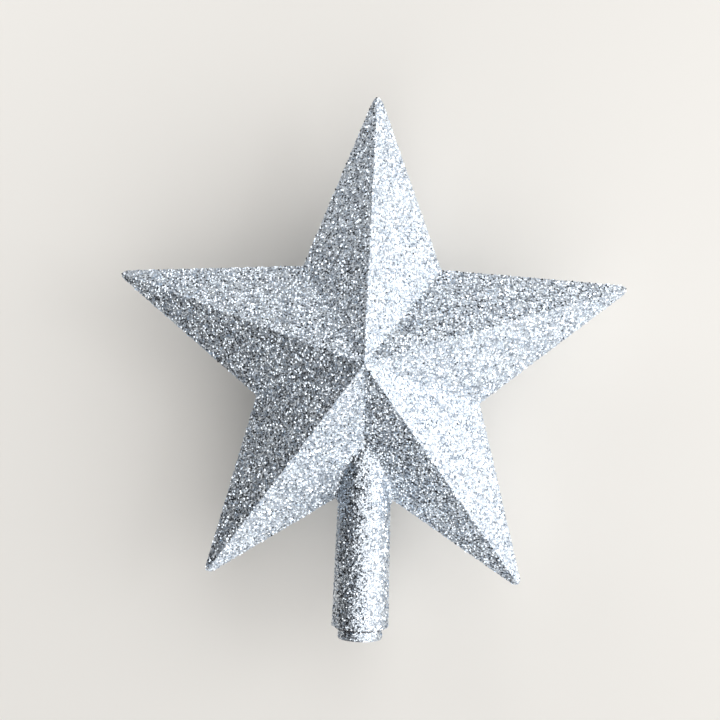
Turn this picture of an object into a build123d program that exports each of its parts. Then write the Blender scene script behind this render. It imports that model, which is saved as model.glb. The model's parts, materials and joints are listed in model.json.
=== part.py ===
from build123d import *
import math
import os

# A hollow glittered star for the top of a Christmas tree. Two faceted shells close round a socket tube
# and are glued along a tongue and groove, and one skin of glitter then covers the whole outside.
# Millimetres. +Z is up along the socket, the front faces -Y, and the origin is the middle of the
# socket's mouth, where the tree's top shoot goes in.

# Star, measured on the moulded shells under the glitter
ARMS = 5
TIP_RADIUS = 75.3  # centre to an arm's corner, before it is rounded
NOTCH_RADIUS = 32.3  # centre to the corner between two arms
APEX_HEIGHT = 21.1  # parting plane to the middle of a face
RIM_HALF = 0.6  # half the thickness of the band round the edge
TIP_ROUND = 1.25
SHELL_WALL = 1.2

# Socket tube that the two shells hold
BORE_RADIUS = 5.0
LINER_WALL = 1.0
LINER_CAP = 1.2
LINER_GAP = 0.05  # all round, in the shells' seats
LINER_TOP_DROP = 8.0  # star's centre down to the closed end of the tube
NECK_LENGTH = 3.3  # the tube below the barrel

# Barrel moulded half and half on the shells, wider towards its mouth
BARREL_DROP = 72.9  # star's centre down to the barrel's end
BARREL_WALL = 0.7  # at the barrel's narrow end, inside the star
BARREL_DRAFT = 1.0  # degrees
BARREL_BLEND = 1.2  # rounding where the barrel runs into the faces
BARREL_LIP = 0.4  # bevel round the barrel's end

# Collar on the tube, caught between two ribs in each shell
COLLAR_STEP = 1.3
COLLAR_THICKNESS = 1.6
COLLAR_GAP = 0.1
COLLAR_DEPTH = 4.5  # tube's closed end down to the collar
RIB_THICKNESS = 1.4
RIB_REACH = 3.0  # past the collar on each side

# Seam between the shells
SEAM_LAND = 3.2
TONGUE_INSET = 1.3
TONGUE_WIDTH = 0.8
TONGUE_HEIGHT = 0.6
GROOVE_GAP = 0.1
GLUE_DEPTH = 0.25

# Glitter in its lacquer
COAT = 0.3
NECK_COAT = 0.3

# Worked out from the sizes above
HALF_ARM = math.radians(180 / ARMS)
SIDE_LENGTH = math.hypot(
    NOTCH_RADIUS * math.sin(HALF_ARM), TIP_RADIUS - NOTCH_RADIUS * math.cos(HALF_ARM)
)
EDGE_DISTANCE = TIP_RADIUS * NOTCH_RADIUS * math.sin(HALF_ARM) / SIDE_LENGTH
FACE_RISE = APEX_HEIGHT - RIM_HALF
FACE_LEAN = EDGE_DISTANCE / math.hypot(EDGE_DISTANCE, FACE_RISE)

LINER_RADIUS = BORE_RADIUS + LINER_WALL
SEAT_RADIUS = LINER_RADIUS + LINER_GAP
COLLAR_RADIUS = LINER_RADIUS + COLLAR_STEP
COLLAR_TOP = LINER_TOP_DROP + COLLAR_DEPTH
COLLAR_END = COLLAR_TOP + COLLAR_THICKNESS
UPPER_RIB_TOP = COLLAR_TOP - COLLAR_GAP - RIB_THICKNESS
LOWER_RIB_TOP = COLLAR_END + COLLAR_GAP
BARREL_TOP = LOWER_RIB_TOP + RIB_THICKNESS
NECK_END = BARREL_DROP + NECK_LENGTH
BEVEL_GAIN = 2 - math.sqrt(2)  # how much a bevel's legs grow as its two faces and itself move out by one
STAR_FRAME = Plane(origin=(0, 0, NECK_END), x_dir=(1, 0, 0), z_dir=(0, -1, 0))


def corner(radius, steps):
    """A point of the star's outline, steps being half arms round from the upper tip."""
    angle = math.pi / 2 + steps * HALF_ARM
    return (radius * math.cos(angle), radius * math.sin(angle))


def star_corners(scale):
    """Tips and notches in turn. Scaling moves all the edges out alike, as all are as far from the centre."""
    radii = (TIP_RADIUS * scale, NOTCH_RADIUS * scale)
    return [corner(radii[steps % 2], steps) for steps in range(2 * ARMS)]


def star_outline(grow):
    """The outline with its edges moved out by grow, and its tips rounded where they still have room."""
    scale = 1 + grow / EDGE_DISTANCE
    outline = make_face(Polyline(*star_corners(scale), close=True))
    tip_round = TIP_ROUND + grow
    if tip_round > 0:
        halfway = scale * (TIP_RADIUS + NOTCH_RADIUS) / 2
        tips = outline.vertices().filter_by(lambda v: math.hypot(v.X, v.Y) > halfway)
        outline = fillet(tips, tip_round)
    return outline


def pyramid(grow):
    """The front faces moved out by grow, carried down to the parting plane."""
    height = APEX_HEIGHT + grow / FACE_LEAN
    foot = star_corners(height / FACE_RISE)
    apex = (0, 0, height)
    sides = [
        Face(Wire.make_polygon([(*foot[i - 1], 0), (*foot[i], 0), apex])) for i in range(len(foot))
    ]
    base = Face(Wire.make_polygon([(x, y, 0) for x, y in foot]))
    return Solid(Shell([base, *sides]))


def half_star(grow, inset):
    """The front half of the star inside the faces moved by grow and the edges moved in by inset."""
    return pyramid(grow) & extrude(star_outline(-inset), amount=2 * APEX_HEIGHT)


def turned(*profile):
    """A solid turned about the socket's axis, from points (radius, drop below the star's centre)."""
    face = make_face(Polyline(*[(radius, -drop) for radius, drop in profile], close=True))
    return revolve(face, axis=Axis.Y)


def barrel(grow):
    """The tapered barrel, from inside the star to its bevelled end, with its surface moved out by grow."""
    end = BARREL_DROP + grow
    narrow = SEAT_RADIUS + BARREL_WALL + grow
    wide = narrow + (end - BARREL_TOP) * math.tan(math.radians(BARREL_DRAFT))
    profile = make_face(
        Polyline((0, -BARREL_TOP), (narrow, -BARREL_TOP), (wide, -end), (0, -end), close=True)
    )
    lip = profile.vertices().sort_by(Axis.X)[-1]
    return revolve(chamfer(lip, BARREL_LIP + grow * BEVEL_GAIN), axis=Axis.Y)


def front_half(part):
    return split(part, bisect_by=Plane.XY, keep=Keep.TOP)


def rear_half(part):
    return mirror(part, about=Plane.XY)


def body(grow):
    """The whole outside moved out by grow: star and barrel, rounded into each other."""
    half = half_star(grow, -grow)
    whole = half + rear_half(half) + barrel(grow)
    barrel_side = whole.faces().filter_by(GeomType.CONE).sort_by(SortBy.AREA)[-1]
    return fillet(barrel_side.edges().filter_by(GeomType.ELLIPSE), BARREL_BLEND - grow)


def seam_ring(outer, inner, depth):
    """A strip behind the parting plane that follows the outline, left open where the barrel comes out."""
    strip = extrude(star_outline(-outer) - star_outline(-inner), amount=-depth)
    barrel_way = Pos(0, -BARREL_DROP / 2) * Box(
        2 * (SEAT_RADIUS + BARREL_WALL + SEAM_LAND), BARREL_DROP, 4 * depth
    )
    return strip - barrel_way


def rib(top):
    """One rib across the inside, from the front wall down to the parting plane."""
    width = 2 * (COLLAR_RADIUS + RIB_REACH)
    plate = Pos(0, -top - RIB_THICKNESS / 2, APEX_HEIGHT / 2) * Box(width, RIB_THICKNESS, APEX_HEIGHT)
    return plate & pyramid(-SHELL_WALL / 2)


def rod(radius, top, end):
    """A plain round bar along the socket's axis."""
    return turned((0, top), (radius, top), (radius, end), (0, end))


def plain_shell():
    """The front shell before its seam is cut: hollow star, half barrel and the ribs that seat the tube."""
    shell = front_half(body(0)) - half_star(-SHELL_WALL, SEAM_LAND)
    shell += rib(UPPER_RIB_TOP) + rib(LOWER_RIB_TOP)
    return shell - rod(SEAT_RADIUS, LINER_TOP_DROP, NECK_END)


def front_shell(shell):
    return shell + seam_ring(TONGUE_INSET, TONGUE_INSET + TONGUE_WIDTH, TONGUE_HEIGHT)


def groove(depth):
    """The room for the tongue, wider by its gap on both sides."""
    outer = TONGUE_INSET - GROOVE_GAP
    return seam_ring(outer, TONGUE_INSET + TONGUE_WIDTH + GROOVE_GAP, depth)


def rear_shell(shell):
    return rear_half(shell) - groove(TONGUE_HEIGHT + GLUE_DEPTH)


def seam_glue_bead():
    """The glue left at the bottom of the groove, under the tongue."""
    return groove(TONGUE_HEIGHT + GLUE_DEPTH) - groove(TONGUE_HEIGHT)


def socket_liner():
    """The tube for the tree's shoot: closed at its top, with a collar that the ribs hold."""
    return turned(
        (0, LINER_TOP_DROP),
        (LINER_RADIUS, LINER_TOP_DROP),
        (LINER_RADIUS, COLLAR_TOP),
        (COLLAR_RADIUS, COLLAR_TOP),
        (COLLAR_RADIUS, COLLAR_END),
        (LINER_RADIUS, COLLAR_END),
        (LINER_RADIUS, NECK_END),
        (BORE_RADIUS, NECK_END),
        (BORE_RADIUS, LINER_TOP_DROP + LINER_CAP),
        (0, LINER_TOP_DROP + LINER_CAP),
    )


def glitter_coat():
    """The skin over star and barrel, put on after the shells are glued, up to the tube at its mouth."""
    return body(COAT) - body(0) - rod(LINER_RADIUS, BARREL_DROP, NECK_END)


def neck_glitter_coat():
    """The skin on the part of the tube that shows below the barrel."""
    top = BARREL_DROP + COAT
    return rod(LINER_RADIUS + NECK_COAT, top, NECK_END) - rod(LINER_RADIUS, top, NECK_END)


shell = plain_shell()
nodes = {
    "front_shell": front_shell(shell),
    "rear_shell": rear_shell(shell),
    "socket_liner": socket_liner(),
    "seam_glue_bead": seam_glue_bead(),
    "glitter_coat": glitter_coat(),
    "neck_glitter_coat": neck_glitter_coat(),
}
os.makedirs("parts", exist_ok=True)
for name, node in nodes.items():
    export_step(STAR_FRAME.location * node, f"parts/{name}.step")
    print(name, "volume", round(node.volume, 1))
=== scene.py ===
import json
import math

import bmesh
import bpy
from bpy.props import FloatProperty, FloatVectorProperty, IntProperty, PointerProperty
from bpy.types import NodeSocket, Operator, Panel, PropertyGroup
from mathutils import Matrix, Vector
from mathutils.kdtree import KDTree

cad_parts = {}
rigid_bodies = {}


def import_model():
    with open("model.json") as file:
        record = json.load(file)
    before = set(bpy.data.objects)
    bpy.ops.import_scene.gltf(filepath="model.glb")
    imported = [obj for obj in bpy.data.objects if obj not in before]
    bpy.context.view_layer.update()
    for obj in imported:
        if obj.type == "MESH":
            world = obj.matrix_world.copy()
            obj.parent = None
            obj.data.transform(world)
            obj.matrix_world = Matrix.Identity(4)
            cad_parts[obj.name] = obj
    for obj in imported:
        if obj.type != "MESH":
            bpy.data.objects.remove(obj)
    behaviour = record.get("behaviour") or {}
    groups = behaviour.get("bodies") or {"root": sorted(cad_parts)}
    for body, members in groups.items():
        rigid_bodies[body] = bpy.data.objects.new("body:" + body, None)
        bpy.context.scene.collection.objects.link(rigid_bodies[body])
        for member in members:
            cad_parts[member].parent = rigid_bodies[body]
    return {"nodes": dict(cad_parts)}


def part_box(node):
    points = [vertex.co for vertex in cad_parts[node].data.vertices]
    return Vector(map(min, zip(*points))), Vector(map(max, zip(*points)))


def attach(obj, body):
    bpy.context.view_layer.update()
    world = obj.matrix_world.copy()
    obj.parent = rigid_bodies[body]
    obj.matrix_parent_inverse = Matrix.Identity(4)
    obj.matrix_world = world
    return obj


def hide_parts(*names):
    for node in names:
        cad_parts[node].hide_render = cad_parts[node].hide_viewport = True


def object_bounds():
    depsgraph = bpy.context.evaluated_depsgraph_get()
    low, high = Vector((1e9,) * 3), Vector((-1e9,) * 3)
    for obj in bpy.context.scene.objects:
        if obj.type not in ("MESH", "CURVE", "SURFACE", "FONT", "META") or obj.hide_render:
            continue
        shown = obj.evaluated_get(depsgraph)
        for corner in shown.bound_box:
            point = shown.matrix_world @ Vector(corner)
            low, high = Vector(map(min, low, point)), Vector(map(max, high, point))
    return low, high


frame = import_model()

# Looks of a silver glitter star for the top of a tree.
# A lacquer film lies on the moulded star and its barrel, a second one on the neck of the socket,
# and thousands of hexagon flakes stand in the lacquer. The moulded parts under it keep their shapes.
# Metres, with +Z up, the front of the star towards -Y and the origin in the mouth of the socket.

bl_info = {
    "name": "Glitter star topper",
    "version": (1, 0, 0),
    "blender": (4, 5, 0),
    "location": "View3D > Sidebar > Star topper",
    "description": "Models the lacquer, the glitter and the studio of a silver tree topper star",
    "category": "Object",
}

MM = 0.001
BODY = "root"

# The boxes of the loaded frame, before any piece is made
CAD_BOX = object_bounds()
COAT_LOW, COAT_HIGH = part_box("glitter_coat")
NECK_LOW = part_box("neck_glitter_coat")[0]

# The star has five arms, named clockwise from the top as seen from the front
ARM_NAMES = ("top", "right", "lower_right", "lower_left", "left")
ARMS = len(ARM_NAMES)
SIDE_NAMES = ("front", "rear")

# How finely the round forms are cut, and how full the round of a tip is
TIP_STEPS = 5
TIP_PROFILE = 0.4
BARREL_SIDES = 72
LIP_STEPS = 3
FLAKE_SIDES = 6
SMOOTH_ANGLE = math.radians(32)

# Depth of the coat that is left to the flakes, at the apex of the star and at the end of the barrel
APEX_ROOM = 0.31 * MM
END_ROOM = 0.25 * MM

# How deep the cutter of the tips is, as a share of the star, so that it passes right through
CUTTER_REACH = 1.2

# What counts as lying along an axis, at a height and on the side of the barrel
AXIS_COSINE = 0.9
HEIGHT_ROOM = 0.01 * MM
SIDE_ROOM = 0.02 * MM

# The edges where the barrel grows out of the star bend more than this, and lie this far above its end
ROOT_ANGLE = math.radians(12)
ROOT_RISE = 10 * MM

# Flakes start at this share of the round of the lip. Those of the barrel lie within this room of its
# widest radius, and at least this share of the notch radius below the middle of the star.
LIP_SHARE = 0.2
BARREL_ROOM = 0.3 * MM
BARREL_SHARE = 0.6

# Each random draw of the scatter has a number of its own
LIFT_DRAW = 1
LEAN_DRAW = 2
SIZE_DRAW = 3
TONE_DRAW = 4

# A flake whose draw is over one of these takes the next tone: plain, blue, lacquered over, and dark,
# which is painted shade of the gaps between flakes
TONE_STEPS = (0.58, 0.86, 0.95)

# Sockets that share their name with others on the node are picked by number
MIX_SHARE = 0
MIX_FIRST = 6
MIX_SECOND = 7
MIX_COLOUR = 2
LOW_VECTOR = 0
HIGH_VECTOR = 1
LOW_VALUE = 2
HIGH_VALUE = 3
DRAW_NUMBER = 8
DRAWN_VECTOR = 0
DRAWN_VALUE = 1

DUST_LACQUER = "aluminium dust lacquer"
# Dark lacquer on the lip of the barrel and the top of the neck: painted shade, as under the overhanging
# lip
PAINTED_SHADE_LACQUER = "dark lacquer, painted shade"

# Widths of the patterns in the finishes
DUST_WIDTH = 0.35 * MM
SAG_WIDTH = 0.8 * MM
CLOUD_WIDTH = 0.5 * MM
FLOW_WIDTH = 14 * MM
PAPER_WIDTH = 60 * MM

# Lowest and highest roughness of the finishes that vary between two values
DUST_ROUGHNESS = (0.28, 0.5)
PAINTED_SHADE_ROUGHNESS = (0.22, 0.4)
PAPER_ROUGHNESS = (0.85, 0.95)

# How far the normal of a grain of dust leans for the whole range of its random colour
DUST_LEAN = 0.7

# Noise at which the clear coat of a flake starts to cloud and is cloudy, and the roughness that adds
CLOUD_START = 0.5
CLOUD_FULL = 0.75
CLOUD_HAZE = 0.12

# How much the flow marks change the roughness of a moulding
FLOW_HAZE = 0.06

# Width of the floor, and its gap to the back of the star
FLOOR_WIDTH = 3.0
FLOOR_GAP = 0.2 * MM


def linear(tone):
    """Turns an sRGB hex colour into the linear colour that shaders take."""
    parts = [int(tone[i:i + 2], 16) / 255 for i in (1, 3, 5)]
    straight = [p / 12.92 if p <= 0.04045 else ((p + 0.055) / 1.055) ** 2.4 for p in parts]
    return (*straight, 1.0)


class TopperSizes(PropertyGroup):
    """Sizes of the lacquered star, as worn outside the moulding."""

    star_centre: FloatProperty(
        name="Star centre",
        description="Height of the middle of the star above the mouth of the socket",
        default=76.2 * MM,
        unit="LENGTH",
    )
    tip_radius: FloatProperty(
        name="Tip radius",
        description="From the middle of the star to the sharp corner of an arm",
        default=75.44 * MM,
        unit="LENGTH",
    )
    notch_radius: FloatProperty(
        name="Notch radius",
        description="From the middle of the star to the corner between two arms",
        default=32.36 * MM,
        unit="LENGTH",
    )
    tip_round: FloatProperty(
        name="Tip round",
        description="Radius that rounds the end of an arm",
        default=1.3 * MM,
        unit="LENGTH",
    )
    rim_width: FloatProperty(
        name="Rim width",
        description="Width of the flat rim where the two halves of the star meet",
        default=1.2 * MM,
        unit="LENGTH",
    )
    apex_height: FloatProperty(
        name="Apex height",
        description="From the rim plane of the star to the point in the middle of its face",
        default=COAT_HIGH.y - APEX_ROOM,
        unit="LENGTH",
    )
    barrel_top: FloatProperty(
        name="Barrel top",
        description="Height at which the barrel ends inside the star",
        default=60.6 * MM,
        unit="LENGTH",
    )
    barrel_end: FloatProperty(
        name="Barrel end",
        description="Height of the lower end of the barrel",
        default=COAT_LOW.z + END_ROOM,
        unit="LENGTH",
    )
    barrel_top_radius: FloatProperty(
        name="Barrel top radius",
        description="Radius of the barrel at its top",
        default=6.8 * MM,
        unit="LENGTH",
    )
    barrel_end_radius: FloatProperty(
        name="Barrel end radius",
        description="Radius of the barrel at its lower end",
        default=7.81 * MM,
        unit="LENGTH",
    )
    barrel_lip: FloatProperty(
        name="Barrel lip",
        description="Rounding of the lower edge of the barrel",
        default=0.43 * MM,
        unit="LENGTH",
    )
    blend_room: FloatProperty(
        name="Blend room",
        description="How far the grid reaches to each side of the hollow between barrel and star",
        default=3.0 * MM,
        unit="LENGTH",
    )
    blend_grid: FloatProperty(
        name="Blend grid",
        description="Width of the grid that lets the hollow between barrel and star curve",
        default=0.5 * MM,
        unit="LENGTH",
    )
    neck_radius: FloatProperty(
        name="Neck radius",
        description="Radius of the neck of the socket under its lacquer",
        default=6.0 * MM,
        unit="LENGTH",
    )
    neck_gap: FloatProperty(
        name="Neck gap",
        description="Gap left at each end of the lacquer on the neck",
        default=0.03 * MM,
        unit="LENGTH",
    )
    # The band below the barrel is left without flakes and painted dark as the shade under its lip
    painted_shade_width: FloatProperty(
        name="Painted shade width",
        description="Width of the dark band without flakes below the barrel, painted as the shade under its lip",
        default=0.75 * MM,
        unit="LENGTH",
    )
    neck_bare_foot: FloatProperty(
        name="Neck bare foot",
        description="Width at the mouth of the socket that is left without flakes",
        default=0.35 * MM,
        unit="LENGTH",
    )
    film_depth: FloatProperty(
        name="Film depth",
        description="Thickness of the lacquer",
        default=0.05 * MM,
        unit="LENGTH",
    )


class TopperGlitter(PropertyGroup):
    """The glitter: its flakes and the tones they come in."""

    flake_radius: FloatProperty(
        name="Flake radius",
        description="From the middle of a flake to a corner",
        default=0.33 * MM,
        unit="LENGTH",
    )
    flake_depth: FloatProperty(
        name="Flake depth",
        description="How far the foot of a flake is sunk into the lacquer",
        default=0.10 * MM,
        unit="LENGTH",
    )
    smallest: FloatProperty(
        name="Smallest flake",
        description="Size of the smallest flakes, as a share of the sizes given",
        default=0.75,
    )
    largest: FloatProperty(
        name="Largest flake",
        description="Size of the largest flakes, as a share of the sizes given",
        default=1.15,
    )
    spacing: FloatProperty(
        name="Spacing",
        description="Smallest distance between the middles of two flakes",
        default=0.45 * MM,
        unit="LENGTH",
    )
    crowding: FloatProperty(
        name="Crowding",
        description="Flakes thrown at each square metre, of which those too close are left out",
        default=1.6e7,
    )
    lift: FloatProperty(
        name="Lift",
        description="How far a flake may sit above the lacquer",
        default=0.04 * MM,
        unit="LENGTH",
    )
    tilt: FloatProperty(
        name="Tilt",
        description="Largest lean of a flake on a facet, about each of its two axes",
        default=math.radians(38),
        subtype="ANGLE",
    )
    round_tilt: FloatProperty(
        name="Round tilt",
        description="Largest lean of a flake on the barrel and the neck, where flakes lie flatter",
        default=math.radians(28),
        subtype="ANGLE",
    )
    seed: IntProperty(
        name="Seed",
        description="Starts the scatter, so that it is the same each time",
        default=7,
    )
    bright_tone: FloatVectorProperty(
        name="Bright tone",
        description="Colour of the plain silver flakes",
        default=linear("#f1f8ff"),
        size=4,
        subtype="COLOR",
    )
    cool_tone: FloatVectorProperty(
        name="Cool tone",
        description="Colour of the flakes that lean to blue",
        default=linear("#d9e8f6"),
        size=4,
        subtype="COLOR",
    )
    dull_tone: FloatVectorProperty(
        name="Dull tone",
        description="Colour of the flakes that lacquer has run over",
        default=linear("#c2cedb"),
        size=4,
        subtype="COLOR",
    )
    # A random share of flakes painted darker, as the shade in the gaps between flakes
    dark_tone: FloatVectorProperty(
        name="Dark tone",
        description="Colour of a random share of flakes, painted darker as shade in the gaps between flakes",
        default=linear("#a2a7b1"),
        size=4,
        subtype="COLOR",
    )
    film_light: FloatVectorProperty(
        name="Film light tone",
        description="Lighter colour of the lacquer between the flakes",
        default=linear("#d4dce5"),
        size=4,
        subtype="COLOR",
    )
    film_dark: FloatVectorProperty(
        name="Film dark tone",
        description="Darker colour of the lacquer between the flakes",
        default=linear("#9097a1"),
        size=4,
        subtype="COLOR",
    )
    # Painted shade: the dark colour of the band under the lip of the barrel
    painted_shade_tone: FloatVectorProperty(
        name="Painted shade tone",
        description="Colour painted on the lacquer below the barrel as the shade under its lip",
        default=linear("#63646a"),
        size=4,
        subtype="COLOR",
    )


class TopperStage(PropertyGroup):
    """The studio: floor, light and camera."""

    floor_tone: FloatVectorProperty(
        name="Floor tone",
        description="Colour of the surface that the star lies on",
        default=linear("#e6e3de"),
        size=4,
        subtype="COLOR",
    )
    overhead_level: FloatProperty(
        name="Overhead level",
        description="Brightness of the room above the star, round the camera",
        default=0.88,
    )
    side_level: FloatProperty(
        name="Side level",
        description="Brightness of the room round the star, level with it",
        default=1.4,
    )
    lit_side: FloatVectorProperty(
        name="Lit side",
        description="Direction of the lit end of the room",
        default=(0.987, 0.0, -0.16),
        subtype="DIRECTION",
    )
    lit_share: FloatProperty(
        name="Lit share",
        description="Share of these levels at the lit end of the room",
        default=1.25,
    )
    dim_share: FloatProperty(
        name="Dim share",
        description="Share of these levels at the dim end of the room",
        default=0.01,
    )
    lit_edge: FloatProperty(
        name="Lit edge",
        description="How far towards the lit side, from -1 to 1, the lit end of the room starts",
        default=0.08,
    )
    dim_edge: FloatProperty(
        name="Dim edge",
        description="How far towards the lit side, from -1 to 1, the dim end of the room stops",
        default=-0.43,
    )
    key_power: FloatProperty(
        name="Key power",
        description="Power of the soft lamp on the right",
        default=0.9,
        unit="POWER",
    )
    key_place: FloatVectorProperty(
        name="Key place",
        description="Where the soft lamp on the right hangs",
        default=(0.46, -0.24, 0.12),
        subtype="XYZ",
        unit="LENGTH",
    )
    key_size: FloatProperty(
        name="Key size",
        description="Width of the soft lamp on the right",
        default=0.30,
        unit="LENGTH",
    )
    fill_power: FloatProperty(
        name="Fill power",
        description="Power of the soft lamp on the left",
        default=0.52,
        unit="POWER",
    )
    fill_place: FloatVectorProperty(
        name="Fill place",
        description="Where the soft lamp on the left hangs",
        default=(-0.36, -0.14, 0.36),
        subtype="XYZ",
        unit="LENGTH",
    )
    fill_size: FloatProperty(
        name="Fill size",
        description="Width of the soft lamp on the left",
        default=0.30,
        unit="LENGTH",
    )
    camera_place: FloatVectorProperty(
        name="Camera place",
        description="Where the camera stands",
        default=(0.02275, -0.40059, 0.08048),
        subtype="XYZ",
        unit="LENGTH",
    )
    camera_turn: FloatVectorProperty(
        name="Camera turn",
        description="How the camera is turned",
        default=(math.radians(89.499), math.radians(-1.915), math.radians(3.619)),
        subtype="EULER",
    )
    lens: FloatProperty(
        name="Lens",
        description="Focal length of the camera, in millimetres",
        default=72.5,
    )


# Helpers


def add_node(tree, kind, settings=None, inputs=None):
    """Adds a node, with its settings and with a value or a link for each input, by name or number."""
    made = tree.nodes.new(kind)
    for name, value in (settings or {}).items():
        setattr(made, name, value)
    for name, value in (inputs or {}).items():
        if isinstance(value, NodeSocket):
            tree.links.new(value, made.inputs[name])
        else:
            made.inputs[name].default_value = value
    return made


def new_material(name):
    """Gives an empty node material, its tree, and the places of the piece that its patterns read."""
    material = bpy.data.materials.new(name)
    material.use_nodes = True
    tree = material.node_tree
    tree.nodes.clear()
    return material, tree, add_node(tree, "ShaderNodeTexCoord").outputs["Object"]


def deselect():
    """Goes back to object mode and selects nothing."""
    if bpy.context.object and bpy.context.object.mode != "OBJECT":
        bpy.ops.object.mode_set(mode="OBJECT")
    bpy.ops.object.select_all(action="DESELECT")


def activate(obj):
    """Selects one object alone and makes it the active one."""
    deselect()
    obj.select_set(True)
    bpy.context.view_layer.objects.active = obj


def edit(obj, kind):
    """Opens an object in edit mode, for vertices, edges or faces."""
    activate(obj)
    bpy.ops.object.mode_set(mode="EDIT")
    bpy.ops.mesh.select_mode(type=kind)


def pick(obj, kind, test):
    """Selects what passes a test in edit mode, and gives the places of its corners."""
    bpy.ops.mesh.select_mode(type=kind)
    bpy.ops.mesh.select_all(action="DESELECT")
    mesh = bmesh.from_edit_mesh(obj.data)
    layers = {"VERT": mesh.verts, "EDGE": mesh.edges, "FACE": mesh.faces}
    found = [part for part in layers[kind] if test(part)]
    if not found:
        raise RuntimeError(f"nothing of {obj.name} passes the test for a selection")
    for part in found:
        part.select_set(True)
    mesh.select_flush_mode()
    bmesh.update_edit_mesh(obj.data)
    return [corner.co.copy() for corner in mesh.verts if corner.select]


def place_in_mesh(obj):
    """Moves an object's place, turn and scale into its mesh."""
    activate(obj)
    bpy.ops.object.transform_apply(location=True, rotation=True, scale=True)


def apply_modifier(obj, kind, name, settings):
    """Adds a modifier with its settings and applies it."""
    activate(obj)
    modifier = obj.modifiers.new(name, kind)
    for key, value in settings.items():
        setattr(modifier, key, value)
    bpy.ops.object.modifier_apply(modifier=modifier.name)


def copy_of(obj):
    """Copies an object with its mesh."""
    activate(obj)
    bpy.ops.object.duplicate(linked=False)
    return bpy.context.object


def finish_piece(obj, name, materials, *nodes):
    """Names a piece, gives it its materials, and ties it to the frame."""
    obj.name = name
    obj.data.name = name
    obj.data.materials.clear()
    for material in materials:
        obj.data.materials.append(material)
    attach(obj, BODY)
    if nodes:
        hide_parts(*nodes)


# The skin of the star


def star_prism(sizes, half_depth, rounded):
    """Models the outline of the star as a prism, with sharp or with rounded tips."""
    middle = (0, 0, sizes.star_centre)
    step = math.pi / ARMS

    def at_notch(corner):
        turn = math.atan2(corner.co.x, corner.co.z - sizes.star_centre)
        return round(turn / step) % 2 == 1

    def along_tip(edge):
        direction = (edge.verts[1].co - edge.verts[0].co).normalized()
        return abs(direction.y) > AXIS_COSINE and not at_notch(edge.verts[0])

    deselect()
    bpy.ops.mesh.primitive_cylinder_add(
        vertices=2 * ARMS,
        radius=sizes.tip_radius,
        depth=2 * half_depth,
        location=middle,
        rotation=(math.pi / 2, 0, 0),
    )
    prism = bpy.context.object
    place_in_mesh(prism)
    edit(prism, "VERT")
    pick(prism, "VERT", at_notch)
    inwards = sizes.notch_radius / sizes.tip_radius
    bpy.ops.transform.resize(value=(inwards, 1, inwards), center_override=middle)
    if rounded:
        # The round starts where a circle would touch both sides of the arm
        across = sizes.notch_radius * math.sin(step)
        along = sizes.tip_radius - sizes.notch_radius * math.cos(step)
        pick(prism, "EDGE", along_tip)
        bpy.ops.mesh.bevel(
            offset=sizes.tip_round * along / across,
            offset_type="OFFSET",
            segments=TIP_STEPS,
            profile=TIP_PROFILE,
            affect="EDGES",
        )
    bpy.ops.object.mode_set(mode="OBJECT")
    return prism


def star_body(sizes):
    """Models the star with its rim, ten facets to an apex on each face, and rounded tips."""
    half_rim = sizes.rim_width / 2
    star = star_prism(sizes, half_rim, rounded=False)
    edit(star, "FACE")
    pick(star, "FACE", lambda face: abs(face.normal.y) > AXIS_COSINE)
    bpy.ops.mesh.poke(
        offset=sizes.apex_height - half_rim,
        use_relative_offset=False,
        center_mode="MEDIAN",
    )
    bpy.ops.object.mode_set(mode="OBJECT")
    cutter = star_prism(sizes, CUTTER_REACH * sizes.apex_height, rounded=True)
    tips = {"operation": "INTERSECT", "solver": "EXACT", "object": cutter}
    apply_modifier(star, "BOOLEAN", "tips", tips)
    bpy.data.objects.remove(cutter)
    return star


def barrel_body(sizes):
    """Models the slightly tapered barrel with a rounded lower edge."""
    deselect()
    bpy.ops.mesh.primitive_cone_add(
        vertices=BARREL_SIDES,
        radius1=sizes.barrel_end_radius,
        radius2=sizes.barrel_top_radius,
        depth=sizes.barrel_top - sizes.barrel_end,
        location=(0, 0, (sizes.barrel_top + sizes.barrel_end) / 2),
    )
    barrel = bpy.context.object
    place_in_mesh(barrel)
    edit(barrel, "EDGE")
    low = sizes.barrel_end + HEIGHT_ROOM
    pick(barrel, "EDGE", lambda edge: all(corner.co.z < low for corner in edge.verts))
    bpy.ops.mesh.bevel(offset=sizes.barrel_lip, segments=LIP_STEPS, affect="EDGES")
    bpy.ops.object.mode_set(mode="OBJECT")
    return barrel


def barrel_radius(sizes, height):
    """Gives the radius of the barrel at a height."""
    share = (height - sizes.barrel_end) / (sizes.barrel_top - sizes.barrel_end)
    return sizes.barrel_end_radius + share * (sizes.barrel_top_radius - sizes.barrel_end_radius)


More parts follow.
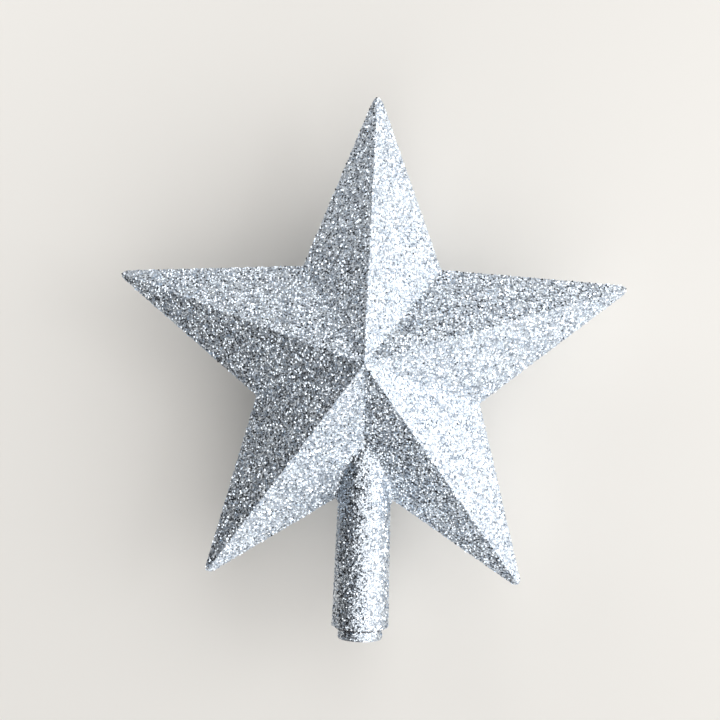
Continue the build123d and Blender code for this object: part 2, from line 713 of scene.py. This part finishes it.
def blend_barrel(skin, sizes):
    """Cuts a fine grid round the root of the barrel, so that the hollow there can take its round."""
    def on_barrel(corner):
        there = math.hypot(corner.co.x, corner.co.y)
        return abs(there - barrel_radius(sizes, corner.co.z)) < SIDE_ROOM

    def at_root(edge):
        return (
            all(on_barrel(corner) for corner in edge.verts)
            and len(edge.link_faces) == 2
            and edge.calc_face_angle(0) > ROOT_ANGLE
            and edge.verts[0].co.z > sizes.barrel_end + ROOT_RISE
        )

    edit(skin, "EDGE")
    root = pick(skin, "EDGE", at_root)
    near_root = KDTree(len(root))
    for number, point in enumerate(root):
        near_root.insert(point, number)
    near_root.balance()
    step = sizes.blend_grid
    wide = max(abs(point.x) for point in root) + sizes.blend_room
    low = min(point.z for point in root) - sizes.blend_room
    high = max(point.z for point in root) + sizes.blend_room

    def in_patch(face):
        middle = face.calc_center_bounds()
        size = max((corner.co - middle).length for corner in face.verts)
        return (
            abs(middle.x) - size < wide
            and low - size < middle.z < high + size
            and near_root.find(middle)[2] - size < sizes.blend_room
        )

    columns = int(2 * wide / step)
    rows = int((high - low) / step)
    cuts = [((-wide + i * step, 0, 0), (1, 0, 0)) for i in range(columns + 1)]
    cuts += [((0, 0, low + i * step), (0, 0, 1)) for i in range(rows + 1)]
    for place, direction in cuts:
        pick(skin, "FACE", in_patch)
        bpy.ops.mesh.bisect(plane_co=place, plane_no=direction)
    bpy.ops.object.mode_set(mode="OBJECT")


def star_skin(sizes):
    """Models the outside of the lacquer on star and barrel, open where the neck comes out."""
    skin = star_body(sizes)
    barrel = barrel_body(sizes)
    union = {"operation": "UNION", "solver": "EXACT", "object": barrel}
    apply_modifier(skin, "BOOLEAN", "barrel", union)
    bpy.data.objects.remove(barrel)
    blend_barrel(skin, sizes)
    # Corners that lie outside the thickness of the coat are drawn into it, so the lacquer nowhere
    # sinks into the moulding, and the hollow takes the round that the moulding has there
    wrap = {
        "target": frame["nodes"]["glitter_coat"],
        "wrap_method": "NEAREST_SURFACEPOINT",
        "wrap_mode": "INSIDE",
        "offset": sizes.film_depth,
    }
    apply_modifier(skin, "SHRINKWRAP", "moulding", wrap)
    edit(skin, "FACE")
    low = sizes.barrel_end + HEIGHT_ROOM
    pick(skin, "FACE", lambda face: face.calc_center_median().z < low)
    ring = sizes.barrel_end_radius - sizes.barrel_lip - sizes.neck_radius
    bpy.ops.mesh.inset(thickness=ring)
    bpy.ops.mesh.delete(type="FACE")
    bpy.ops.object.mode_set(mode="OBJECT")
    return skin


def neck_skin(sizes, bare_top, bare_foot):
    """Models the outside of the lacquer on the neck, open above and below, with bare ends."""
    low = NECK_LOW.z + bare_foot
    high = sizes.barrel_end - bare_top
    deselect()
    bpy.ops.mesh.primitive_cylinder_add(
        vertices=BARREL_SIDES,
        radius=sizes.neck_radius + sizes.film_depth,
        depth=high - low,
        end_fill_type="NOTHING",
        location=(0, 0, (low + high) / 2),
    )
    skin = bpy.context.object
    place_in_mesh(skin)
    return skin


def lip_height(sizes):
    """Gives the height up to which the lower edge of the barrel faces down, holds no flakes and is
    painted dark as shade.
    """
    return sizes.barrel_end + LIP_SHARE * sizes.barrel_lip


def assign_painted_shade(film, in_painted_shade):
    """Gives the second material of a film, its dark lacquer of painted shade, to the faces at the
    heights given.
    """
    for face in film.data.polygons:
        if in_painted_shade(face.center.z):
            face.material_index = 1


def thicken(skin, sizes):
    """Gives a skin its thickness inwards and smooths the shading of its round parts."""
    wall = {"thickness": sizes.film_depth, "offset": -1.0, "use_even_offset": True}
    apply_modifier(skin, "SOLIDIFY", "film", wall)
    bpy.ops.object.shade_smooth_by_angle(angle=SMOOTH_ANGLE)


# Materials


def lacquer_material(glitter):
    """Clear lacquer full of fine aluminium dust, sprayed on: grey, with a crystal glint."""
    material, tree, place = new_material(DUST_LACQUER)
    # Grains of dust and small flakes lie side by side under the large ones
    grain = add_node(
        tree,
        "ShaderNodeTexVoronoi",
        {"feature": "F1"},
        {"Vector": place, "Scale": 1 / DUST_WIDTH},
    ).outputs["Color"]
    shade = add_node(tree, "ShaderNodeSeparateColor", inputs={"Color": grain})
    tone = add_node(
        tree,
        "ShaderNodeMix",
        {"data_type": "RGBA"},
        {
            MIX_SHARE: shade.outputs["Red"],
            MIX_FIRST: glitter.film_dark,
            MIX_SECOND: glitter.film_light,
        },
    )
    # Each grain leans its own way, so it catches the light at its own angle
    lean = add_node(
        tree,
        "ShaderNodeVectorMath",
        {"operation": "SUBTRACT"},
        {0: grain, 1: (0.5, 0.5, 0.5)},
    )
    surface = add_node(tree, "ShaderNodeNewGeometry").outputs["Normal"]
    leaning = add_node(
        tree,
        "ShaderNodeVectorMath",
        {"operation": "MULTIPLY_ADD"},
        {0: lean.outputs[0], 1: (DUST_LEAN, DUST_LEAN, DUST_LEAN), 2: surface},
    )
    normal = add_node(tree, "ShaderNodeVectorMath", {"operation": "NORMALIZE"}, {0: leaning.outputs[0]})
    smoothest, roughest = DUST_ROUGHNESS
    rough = add_node(
        tree,
        "ShaderNodeMapRange",
        inputs={"Value": shade.outputs["Green"], "To Min": smoothest, "To Max": roughest},
    )
    shader = add_node(
        tree,
        "ShaderNodeBsdfPrincipled",
        inputs={
            "Base Color": tone.outputs[MIX_COLOUR],
            "Metallic": 0.9,
            "Roughness": rough.outputs[0],
            "Normal": normal.outputs[0],
        },
    )
    add_node(tree, "ShaderNodeOutputMaterial", inputs={"Surface": shader.outputs[0]})
    return material


def painted_shade_material(tone):
    """Lacquer without flakes, painted dark as the shade under the lip of the barrel: glossy, with faint
    sags.
    """
    material, tree, place = new_material(PAINTED_SHADE_LACQUER)
    sag = add_node(
        tree,
        "ShaderNodeTexNoise",
        inputs={"Vector": place, "Scale": 1 / SAG_WIDTH},
    ).outputs["Fac"]
    bump = add_node(
        tree,
        "ShaderNodeBump",
        inputs={"Strength": 0.4, "Distance": 0.05 * MM, "Height": sag},
    )
    smoothest, roughest = PAINTED_SHADE_ROUGHNESS
    gloss = add_node(
        tree,
        "ShaderNodeMapRange",
        inputs={"Value": sag, "To Min": smoothest, "To Max": roughest},
    )
    shader = add_node(
        tree,
        "ShaderNodeBsdfPrincipled",
        inputs={
            "Base Color": tone,
            "Roughness": gloss.outputs[0],
            "IOR": 1.49,
            "Normal": bump.outputs[0],
        },
    )
    add_node(tree, "ShaderNodeOutputMaterial", inputs={"Surface": shader.outputs[0]})
    return material


def flake_material(name, clear, cloudy, roughness):
    """One tone of aluminised polyester flake: a slightly wavy mirror, clouded in places by its coat."""
    material, tree, place = new_material(name)
    # A wave is about as wide as a flake, so each flake has its own
    wave = add_node(
        tree,
        "ShaderNodeTexNoise",
        inputs={"Vector": place, "Scale": 1 / CLOUD_WIDTH},
    ).outputs["Fac"]
    cloud = add_node(
        tree,
        "ShaderNodeMapRange",
        inputs={"Value": wave, "From Min": CLOUD_START, "From Max": CLOUD_FULL},
    ).outputs[0]
    tone = add_node(
        tree,
        "ShaderNodeMix",
        {"data_type": "RGBA"},
        {MIX_SHARE: cloud, MIX_FIRST: clear, MIX_SECOND: cloudy},
    )
    haze = add_node(
        tree,
        "ShaderNodeMapRange",
        inputs={"Value": cloud, "To Min": roughness, "To Max": roughness + CLOUD_HAZE},
    )
    bump = add_node(
        tree,
        "ShaderNodeBump",
        inputs={"Strength": 0.6, "Distance": 0.06 * MM, "Height": wave},
    )
    shader = add_node(
        tree,
        "ShaderNodeBsdfPrincipled",
        inputs={
            "Base Color": tone.outputs[MIX_COLOUR],
            "Metallic": 1.0,
            "Roughness": haze.outputs[0],
            "Normal": bump.outputs[0],
        },
    )
    add_node(tree, "ShaderNodeOutputMaterial", inputs={"Surface": shader.outputs[0]})
    return material


def moulded_material(name, light, dark, grain, roughness):
    """Moulded plastic, or cement set in a groove: an even tone, faint flow marks and a fine grain."""
    material, tree, place = new_material(name)
    flow = add_node(
        tree,
        "ShaderNodeTexNoise",
        inputs={"Vector": place, "Scale": 1 / FLOW_WIDTH, "Detail": 4.0},
    ).outputs["Fac"]
    tone = add_node(
        tree,
        "ShaderNodeMix",
        {"data_type": "RGBA"},
        {MIX_SHARE: flow, MIX_FIRST: linear(dark), MIX_SECOND: linear(light)},
    )
    tool = add_node(
        tree,
        "ShaderNodeTexNoise",
        inputs={"Vector": place, "Scale": 1 / grain, "Detail": 2.0},
    )
    bump = add_node(
        tree,
        "ShaderNodeBump",
        inputs={"Strength": 0.25, "Distance": 0.05 * MM, "Height": tool.outputs["Fac"]},
    )
    rough = add_node(
        tree,
        "ShaderNodeMapRange",
        inputs={"Value": flow, "To Min": roughness - FLOW_HAZE, "To Max": roughness + FLOW_HAZE},
    )
    shader = add_node(
        tree,
        "ShaderNodeBsdfPrincipled",
        inputs={
            "Base Color": tone.outputs[MIX_COLOUR],
            "Roughness": rough.outputs[0],
            "IOR": 1.5,
            "Normal": bump.outputs[0],
        },
    )
    add_node(tree, "ShaderNodeOutputMaterial", inputs={"Surface": shader.outputs[0]})
    return material


def paper_material(tone):
    """Matt paper: pale and even, with hardly any gloss, and open from behind."""
    material, tree, place = new_material("matt paper")
    fibre = add_node(tree, "ShaderNodeTexNoise", inputs={"Vector": place, "Scale": 1 / PAPER_WIDTH})
    smoothest, roughest = PAPER_ROUGHNESS
    even = add_node(
        tree,
        "ShaderNodeMapRange",
        inputs={"Value": fibre.outputs["Fac"], "To Min": smoothest, "To Max": roughest},
    )
    paper = add_node(
        tree,
        "ShaderNodeBsdfPrincipled",
        inputs={"Base Color": tone, "Roughness": even.outputs[0]},
    )
    # The camera, metal and glass see the paper from its front. It is open from behind and to the light
    # of the room, so the rear of the star is lit and seen too.
    open_side = add_node(tree, "ShaderNodeBsdfTransparent")
    rear = add_node(tree, "ShaderNodeNewGeometry").outputs["Backfacing"]
    path = add_node(tree, "ShaderNodeLightPath").outputs
    mirrored = add_node(
        tree,
        "ShaderNodeMath",
        {"operation": "MAXIMUM"},
        {0: path["Is Glossy Ray"], 1: path["Is Transmission Ray"]},
    )
    looked_at = add_node(
        tree,
        "ShaderNodeMath",
        {"operation": "MAXIMUM"},
        {0: path["Is Camera Ray"], 1: mirrored.outputs[0]},
    )
    seen = add_node(
        tree,
        "ShaderNodeMath",
        {"operation": "SUBTRACT", "use_clamp": True},
        {0: looked_at.outputs[0], 1: rear},
    )
    shader = add_node(
        tree,
        "ShaderNodeMixShader",
        inputs={0: seen.outputs[0], 1: open_side.outputs[0], 2: paper.outputs[0]},
    )
    add_node(tree, "ShaderNodeOutputMaterial", inputs={"Surface": shader.outputs[0]})
    return material


# Glitter


def flake_shape(glitter):
    """Models one flake: a hexagon that runs to a foot in the lacquer."""
    deselect()
    bpy.ops.mesh.primitive_cylinder_add(
        vertices=FLAKE_SIDES,
        radius=glitter.flake_radius,
        depth=glitter.flake_depth,
        location=(0, 0, -glitter.flake_depth / 2),
    )
    flake = bpy.context.object
    place_in_mesh(flake)
    edit(flake, "VERT")
    pick(flake, "VERT", lambda corner: corner.co.z < -glitter.flake_depth / 2)
    bpy.ops.mesh.merge(type="CENTER")
    bpy.ops.object.mode_set(mode="OBJECT")
    return flake


def lay_flakes(tree, given, glitter, flake):
    """Lays flakes on the skin given, evenly spaced, each with its own height, lean and size."""
    thrown = add_node(
        tree,
        "GeometryNodeDistributePointsOnFaces",
        {"distribute_method": "POISSON"},
        {
            "Mesh": given["Geometry"],
            "Distance Min": glitter.spacing,
            "Density Max": glitter.crowding,
            "Seed": given["Seed"],
        },
    )
    height = add_node(
        tree,
        "FunctionNodeRandomValue",
        {"data_type": "FLOAT"},
        {LOW_VALUE: 0.0, HIGH_VALUE: glitter.lift, DRAW_NUMBER: LIFT_DRAW},
    )
    outwards = add_node(
        tree,
        "ShaderNodeVectorMath",
        {"operation": "SCALE"},
        {0: thrown.outputs["Normal"], "Scale": height.outputs[DRAWN_VALUE]},
    )
    lifted = add_node(
        tree,
        "GeometryNodeSetPosition",
        inputs={"Geometry": thrown.outputs["Points"], "Offset": outwards.outputs[0]},
    )
    # A flake leans by up to the tilt about two of its axes, and is turned any way about the third
    way = add_node(
        tree,
        "FunctionNodeRandomValue",
        {"data_type": "FLOAT_VECTOR"},
        {
            LOW_VECTOR: (-1.0, -1.0, 0.0),
            HIGH_VECTOR: (1.0, 1.0, 2 * math.pi),
            DRAW_NUMBER: LEAN_DRAW,
        },
    )
    tilt = given["Tilt"]
    most = add_node(tree, "ShaderNodeCombineXYZ", inputs={"X": tilt, "Y": tilt, "Z": 1.0})
    lean = add_node(
        tree,
        "ShaderNodeVectorMath",
        {"operation": "MULTIPLY"},
        {0: way.outputs[DRAWN_VECTOR], 1: most.outputs[0]},
    )
    turned = add_node(
        tree,
        "FunctionNodeRotateRotation",
        {"rotation_space": "LOCAL"},
        {"Rotation": thrown.outputs["Rotation"], "Rotate By": lean.outputs[0]},
    )
    size = add_node(
        tree,
        "FunctionNodeRandomValue",
        {"data_type": "FLOAT"},
        {LOW_VALUE: glitter.smallest, HIGH_VALUE: glitter.largest, DRAW_NUMBER: SIZE_DRAW},
    )
    shape = add_node(tree, "GeometryNodeObjectInfo", inputs={"Object": flake})
    laid = add_node(
        tree,
        "GeometryNodeInstanceOnPoints",
        inputs={
            "Points": lifted.outputs["Geometry"],
            "Instance": shape.outputs["Geometry"],
            "Rotation": turned.outputs[0],
            "Scale": size.outputs[DRAWN_VALUE],
        },
    )
    return laid.outputs["Instances"]


def tone_flakes(tree, laid):
    """Draws a tone for each flake, by share, and gives it the material of that tone."""
    draw = add_node(
        tree,
        "FunctionNodeRandomValue",
        {"data_type": "FLOAT"},
        {LOW_VALUE: 0.0, HIGH_VALUE: 1.0, DRAW_NUMBER: TONE_DRAW},
    )
    marked = add_node(
        tree,
        "GeometryNodeStoreNamedAttribute",
        {"data_type": "FLOAT", "domain": "INSTANCE"},
        {"Geometry": laid, "Name": "draw", "Value": draw.outputs[DRAWN_VALUE]},
    )
    real = add_node(tree, "GeometryNodeRealizeInstances", inputs={"Geometry": marked.outputs[0]})
    drawn = add_node(tree, "GeometryNodeInputNamedAttribute", {"data_type": "FLOAT"}, {"Name": "draw"})
    passed = [
        add_node(
            tree,
            "ShaderNodeMath",
            {"operation": "GREATER_THAN"},
            {0: drawn.outputs[0], 1: step},
        ).outputs[0]
        for step in TONE_STEPS
    ]
    index = passed[0]
    for over in passed[1:]:
        index = add_node(tree, "ShaderNodeMath", {"operation": "ADD"}, {0: index, 1: over}).outputs[0]
    toned = add_node(
        tree,
        "GeometryNodeSetMaterialIndex",
        inputs={"Geometry": real.outputs[0], "Material Index": index},
    )
    cleared = add_node(
        tree,
        "GeometryNodeRemoveAttribute",
        inputs={"Geometry": toned.outputs[0], "Name": "draw"},
    )
    return cleared.outputs[0]


def scatter_tree(glitter, flake):
    """Makes the node tree that throws flakes on a skin."""
    tree = bpy.data.node_groups.new("glitter scatter", "GeometryNodeTree")
    tree.is_modifier = True
    sockets = (
        ("Geometry", "INPUT", "NodeSocketGeometry"),
        ("Seed", "INPUT", "NodeSocketInt"),
        ("Tilt", "INPUT", "NodeSocketFloat"),
        ("Geometry", "OUTPUT", "NodeSocketGeometry"),
    )
    for name, way, kind in sockets:
        tree.interface.new_socket(name, in_out=way, socket_type=kind)
    given = add_node(tree, "NodeGroupInput").outputs
    laid = lay_flakes(tree, given, glitter, flake)
    add_node(tree, "NodeGroupOutput", inputs={"Geometry": tone_flakes(tree, laid)})
    return tree


def drop_outside(flakes):
    """Takes off the few flakes at the tips that stand out of the box of the part."""
    low, high = CAD_BOX

    def outside(corner):
        return any(not low[i] <= corner.co[i] <= high[i] for i in range(3))

    if any(outside(corner) for corner in flakes.data.vertices):
        edit(flakes, "VERT")
        pick(flakes, "VERT", outside)
        bpy.ops.mesh.select_linked()
        bpy.ops.mesh.delete(type="VERT")
        bpy.ops.object.mode_set(mode="OBJECT")


def scatter(skin, name, tree, seed, tilt, materials):
    """Turns a copy of a skin into the flakes that lie on it."""
    activate(skin)
    modifier = skin.modifiers.new("glitter", "NODES")
    modifier.node_group = tree
    given = {"Seed": seed, "Tilt": tilt}
    for socket in tree.interface.items_tree:
        if socket.name in given:
            modifier[socket.identifier] = given[socket.name]
    bpy.ops.object.modifier_apply(modifier=modifier.name)
    if not skin.data.polygons:
        raise RuntimeError(f"no flakes on {name}")
    drop_outside(skin)
    finish_piece(skin, name, materials)


def region_of(face, sizes):
    """Says which part of the skin a face belongs to: the barrel, its lip, or an arm's front or rear."""
    middle = face.calc_center_median()
    if middle.z < lip_height(sizes):
        return "lip"
    near_barrel = math.hypot(middle.x, middle.y) < sizes.barrel_end_radius + BARREL_ROOM
    if near_barrel and middle.z < sizes.star_centre - sizes.notch_radius * BARREL_SHARE:
        return "barrel"
    turn = math.atan2(middle.x, middle.z - sizes.star_centre)
    arm = ARM_NAMES[round(turn / (2 * math.pi / ARMS)) % ARMS]
    front, rear = SIDE_NAMES
    side = rear if middle.y > sizes.rim_width / 2 else front
    return f"{arm}_{side}"


# Stage


def make_floor(stage):
    """Lays the floor against the back of the star, since the camera looks straight down on it."""
    deselect()
    bpy.ops.mesh.primitive_plane_add(
        size=FLOOR_WIDTH,
        location=(0, COAT_HIGH.y + FLOOR_GAP, 0),
        rotation=(math.pi / 2, 0, 0),
    )
    floor = bpy.context.object
    floor.name = "studio_floor"
    floor.data.materials.append(paper_material(stage.floor_tone))


def make_room(scene, stage):
    """Gives the room a soft light from its sides that falls off from right to left."""
    world = bpy.data.worlds.new("studio room")
    world.use_nodes = True
    scene.world = world
    tree = world.node_tree
    tree.nodes.clear()
    direction = add_node(tree, "ShaderNodeTexCoord").outputs["Generated"]
    upright = add_node(tree, "ShaderNodeSeparateXYZ", inputs={0: direction}).outputs["Y"]
    overhead = add_node(tree, "ShaderNodeMath", {"operation": "MULTIPLY"}, {0: upright, 1: upright})
    height = add_node(
        tree,
        "ShaderNodeMath",
        {"operation": "MULTIPLY_ADD"},
        {0: overhead.outputs[0], 1: stage.overhead_level - stage.side_level, 2: stage.side_level},
    )
    towards = add_node(
        tree,
        "ShaderNodeVectorMath",
        {"operation": "DOT_PRODUCT"},
        {0: direction, 1: stage.lit_side},
    )
    sideways = add_node(
        tree,
        "ShaderNodeMapRange",
        {"interpolation_type": "SMOOTHSTEP"},
        {
            "Value": towards.outputs["Value"],
            "From Min": stage.dim_edge,
            "From Max": stage.lit_edge,
            "To Min": stage.dim_share,
            "To Max": stage.lit_share,
        },
    )
    level = add_node(
        tree,
        "ShaderNodeMath",
        {"operation": "MULTIPLY"},
        {0: height.outputs[0], 1: sideways.outputs[0]},
    )
    room = add_node(
        tree,
        "ShaderNodeBackground",
        inputs={"Color": (1, 1, 1, 1), "Strength": level.outputs[0]},
    )
    add_node(tree, "ShaderNodeOutputWorld", inputs={"Surface": room.outputs[0]})


def make_lamp(name, place, size, power, scene):
    """Hangs a soft square lamp that faces the middle of the star."""
    target = Vector((0, 0, scene.topper_sizes.star_centre))
    light = bpy.data.lights.new(name, "AREA")
    light.size = size
    light.energy = power
    lamp = bpy.data.objects.new(name, light)
    lamp.location = place
    lamp.visible_camera = False
    lamp.rotation_euler = (target - Vector(place)).to_track_quat("-Z", "Y").to_euler()
    scene.collection.objects.link(lamp)


def make_camera(scene, stage):
    """Stands the camera where it looks straight on to the face of the star."""
    data = bpy.data.cameras.new("camera")
    data.lens = stage.lens
    camera = bpy.data.objects.new("camera", data)
    camera.location = stage.camera_place
    camera.rotation_euler = stage.camera_turn
    scene.collection.objects.link(camera)
    scene.camera = camera


# Operators


class TOPPER_OT_lacquer(Operator):
    """Models the lacquer film on the star and its barrel"""

    bl_idname = "topper.lacquer"
    bl_label = "Star lacquer"

    def execute(self, context):
        sizes = context.scene.topper_sizes
        glitter = context.scene.topper_glitter
        film = star_skin(sizes)
        thicken(film, sizes)
        materials = [lacquer_material(glitter), painted_shade_material(glitter.painted_shade_tone)]
        finish_piece(film, "star_lacquer", materials, "glitter_coat")
        # The lip of the barrel takes the dark lacquer of painted shade
        assign_painted_shade(film, lambda height: height < lip_height(sizes))
        return {"FINISHED"}


class TOPPER_OT_neck_lacquer(Operator):
    """Models the lacquer film on the neck of the socket"""

    bl_idname = "topper.neck_lacquer"
    bl_label = "Neck lacquer"

    def execute(self, context):
        sizes = context.scene.topper_sizes
        film = neck_skin(sizes, sizes.neck_gap, sizes.neck_gap)
        # The top of the neck under the barrel is painted dark, as the shade under its lip
        shade_foot = sizes.barrel_end - sizes.painted_shade_width
        edit(film, "FACE")
        bpy.ops.mesh.select_all(action="SELECT")
        bpy.ops.mesh.bisect(plane_co=(0, 0, shade_foot), plane_no=(0, 0, 1))
        thicken(film, sizes)
        materials = [bpy.data.materials[name] for name in (DUST_LACQUER, PAINTED_SHADE_LACQUER)]
        finish_piece(film, "neck_lacquer", materials, "neck_glitter_coat")
        assign_painted_shade(film, lambda height: height > shade_foot)
        return {"FINISHED"}


class TOPPER_OT_glitter(Operator):
    """Scatters the glitter flakes over the arms, the barrel and the neck"""

    bl_idname = "topper.glitter"
    bl_label = "Glitter flakes"

    def execute(self, context):
        sizes = context.scene.topper_sizes
        glitter = context.scene.topper_glitter
        bright = glitter.bright_tone
        cool = glitter.cool_tone
        dull = glitter.dull_tone
        dark = glitter.dark_tone
        materials = [
            flake_material("aluminised flake, bright", bright, cool, roughness=0.08),
            flake_material("aluminised flake, cool", cool, dull, roughness=0.1),
            flake_material("aluminised flake, lacquered over", dull, dark, roughness=0.24),
            # Flakes of the dark tone are painted shade of the gaps between flakes
            flake_material("aluminised flake, painted shade", dark, glitter.film_dark, roughness=0.2),
        ]
        flake = flake_shape(glitter)
        for material in materials:
            flake.data.materials.append(material)
        tree = scatter_tree(glitter, flake)
        skin = star_skin(sizes)
        regions = [f"{arm}_{side}" for arm in ARM_NAMES for side in SIDE_NAMES] + ["barrel"]
        for number, region in enumerate(regions):
            part = copy_of(skin)
            edit(part, "FACE")
            pick(part, "FACE", lambda face: region_of(face, sizes) != region)
            bpy.ops.mesh.delete(type="FACE")
            bpy.ops.object.mode_set(mode="OBJECT")
            tilt = glitter.round_tilt if region == "barrel" else glitter.tilt
            scatter(part, f"{region}_flakes", tree, glitter.seed + number, tilt, materials)
        bpy.data.objects.remove(skin)
        # No flakes lie in the band of painted shade at the top of the neck
        neck = neck_skin(sizes, sizes.painted_shade_width, sizes.neck_bare_foot)
        scatter(neck, "neck_flakes", tree, glitter.seed + len(regions), glitter.round_tilt, materials)
        bpy.data.objects.remove(flake)
        return {"FINISHED"}


class TOPPER_OT_moulded(Operator):
    """Finishes the moulded parts under the glitter: the shells, the socket liner and the glue"""

    bl_idname = "topper.moulded"
    bl_label = "Moulded parts"

    def execute(self, context):
        shell = moulded_material(
            "moulded polystyrene", light="#d5d7da", dark="#c6c8cc", grain=0.6 * MM, roughness=0.4
        )
        liner = moulded_material(
            "moulded polypropylene", light="#c9cbcf", dark="#b7babf", grain=0.5 * MM, roughness=0.48
        )
        glue = moulded_material(
            "set clear cement", light="#e9e7df", dark="#dcd9cf", grain=1.2 * MM, roughness=0.3
        )
        finishes = {
            "front_shell": shell,
            "rear_shell": shell,
            "socket_liner": liner,
            "seam_glue_bead": glue,
        }
        for name, material in finishes.items():
            slots = frame["nodes"][name].data.materials
            slots.clear()
            slots.append(material)
        return {"FINISHED"}


class TOPPER_OT_stage(Operator):
    """Sets up the floor that the star lies on, the light and the camera"""

    bl_idname = "topper.stage"
    bl_label = "Studio"

    def execute(self, context):
        scene = context.scene
        stage = scene.topper_stage
        scene.view_settings.view_transform = "Standard"
        make_floor(stage)
        make_room(scene, stage)
        make_lamp("key_lamp", stage.key_place, stage.key_size, stage.key_power, scene)
        make_lamp("fill_lamp", stage.fill_place, stage.fill_size, stage.fill_power, scene)
        make_camera(scene, stage)
        return {"FINISHED"}


class TOPPER_PT_panel(Panel):
    """Lists the steps, the sizes and the tones of the star topper"""

    bl_label = "Star topper"
    bl_idname = "TOPPER_PT_panel"
    bl_space_type = "VIEW_3D"
    bl_region_type = "UI"
    bl_category = "Star topper"

    def draw(self, context):
        layout = self.layout
        scene = context.scene
        for step in STEPS:
            layout.operator(step.bl_idname)
        for group in (scene.topper_sizes, scene.topper_glitter, scene.topper_stage):
            box = layout.box()
            for name in group.bl_rna.properties.keys():
                if name not in ("rna_type", "name"):
                    box.prop(group, name)


STEPS = (
    TOPPER_OT_lacquer,
    TOPPER_OT_neck_lacquer,
    TOPPER_OT_glitter,
    TOPPER_OT_moulded,
    TOPPER_OT_stage,
)
CLASSES = (TopperSizes, TopperGlitter, TopperStage, *STEPS, TOPPER_PT_panel)


def register():
    """Registers the classes and gives the scene its settings."""
    for each in CLASSES:
        bpy.utils.register_class(each)
    bpy.types.Scene.topper_sizes = PointerProperty(type=TopperSizes)
    bpy.types.Scene.topper_glitter = PointerProperty(type=TopperGlitter)
    bpy.types.Scene.topper_stage = PointerProperty(type=TopperStage)


def unregister():
    """Takes the settings off the scene again, and the classes after them."""
    del bpy.types.Scene.topper_stage
    del bpy.types.Scene.topper_glitter
    del bpy.types.Scene.topper_sizes
    for each in reversed(CLASSES):
        bpy.utils.unregister_class(each)


def main():
    """Makes the pieces and the studio."""
    register()
    bpy.ops.topper.lacquer()
    bpy.ops.topper.neck_lacquer()
    bpy.ops.topper.glitter()
    bpy.ops.topper.moulded()
    bpy.ops.topper.stage()


if __name__ == "__main__":
    main()
